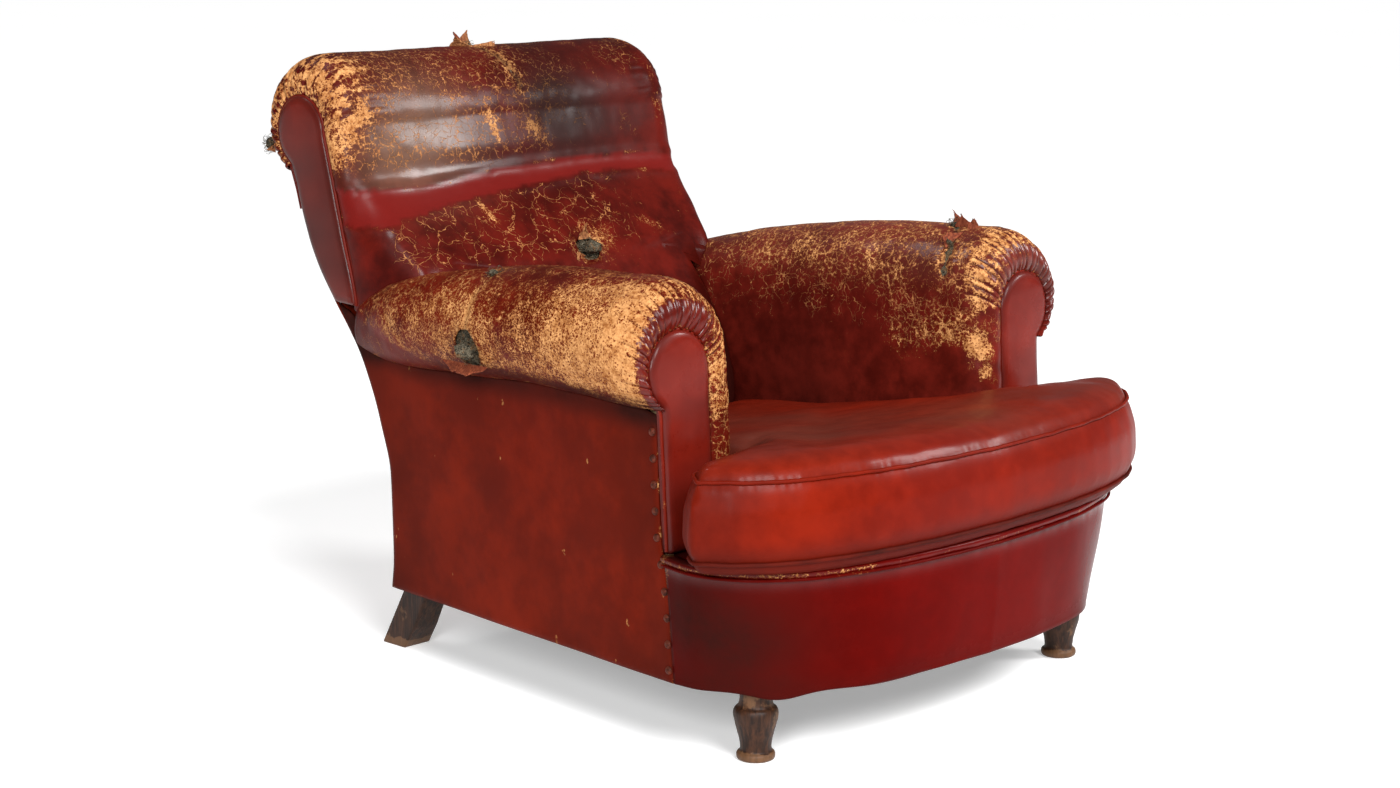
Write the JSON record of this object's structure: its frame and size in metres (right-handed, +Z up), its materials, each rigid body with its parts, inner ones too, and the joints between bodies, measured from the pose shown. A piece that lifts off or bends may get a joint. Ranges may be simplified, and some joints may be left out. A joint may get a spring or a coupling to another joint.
{
  "type": "worn club chair",
  "caption": "Low leather club chair with scroll arms, a scroll back, gathered facings, a loose T-shaped seat cushion and worn, torn covers.",
  "frame": {"origin": "centre of the chair's footprint, on the floor", "axes": "+Z up, the chair faces -Y, +X to the right as seen from the front (camera looking along +Y)"},
  "size_m": [0.8962, 1.1379, 0.845],
  "materials": {
    "arm_leather": "old red-brown hide, rubbed through to tan and finely cracked, satin",
    "back_leather": "old dark red hide, craquelured, with a darker stain and an unworn red band, satin",
    "panel_leather": "smooth dark red hide, lightly scuffed, satin",
    "cushion_leather": "soft brick red hide with dull brown stains on top, satin",
    "border_leather": "deep glossy red hide, scuffed at its piped top edge",
    "leg_wood": "dark stained beech, worn at the edges",
    "frame_beech": "raw sawn beech",
    "hessian": "coarse jute cloth",
    "webbing": "woven jute webbing",
    "horsehair": "matted grey-black curled hair",
    "spring_steel": "coppered spring wire, dull",
    "black_cloth": "thin black lining cloth"
  },
  "bodies": {
    "root": {"arm_cover_left": "arm_leather", "arm_cover_right": "arm_leather", "arm_facing_left": "panel_leather", "arm_facing_right": "panel_leather", "arm_post_left": "frame_beech", "arm_post_right": "frame_beech", "arm_rail_left": "frame_beech", "arm_rail_right": "frame_beech", "arm_stuffing_left": "horsehair", "arm_stuffing_right": "horsehair", "back_cover": "back_leather", "back_facing_left": "back_leather", "back_facing_right": "back_leather", "back_lower_rail": "frame_beech", "back_spring_11": "spring_steel", "back_spring_12": "spring_steel", "back_spring_21": "spring_steel", "back_spring_22": "spring_steel", "back_stuffing": "horsehair", "back_top_rail": "frame_beech", "back_webbing": "webbing", "deck_cover": "border_leather", "dust_cover": "black_cloth", "front_border": "border_leather", "front_leg_left": "leg_wood", "front_leg_right": "leg_wood", "front_rail": "frame_beech", "outside_back": "panel_leather", "rear_leg_left": "leg_wood", "rear_leg_right": "leg_wood", "rear_rail": "frame_beech", "seat_cushion": "cushion_leather", "seat_spring_11": "spring_steel", "seat_spring_12": "spring_steel", "seat_spring_13": "spring_steel", "seat_spring_21": "spring_steel", "seat_spring_22": "spring_steel", "seat_spring_23": "spring_steel", "seat_spring_31": "spring_steel", "seat_spring_32": "spring_steel", "seat_spring_33": "spring_steel", "seat_stuffing": "horsehair", "seat_webbing": "webbing", "side_panel_left": "panel_leather", "side_panel_right": "panel_leather", "side_rail_left": "frame_beech", "side_rail_right": "frame_beech", "spring_hessian": "hessian"}
  },
  "joints": []
}
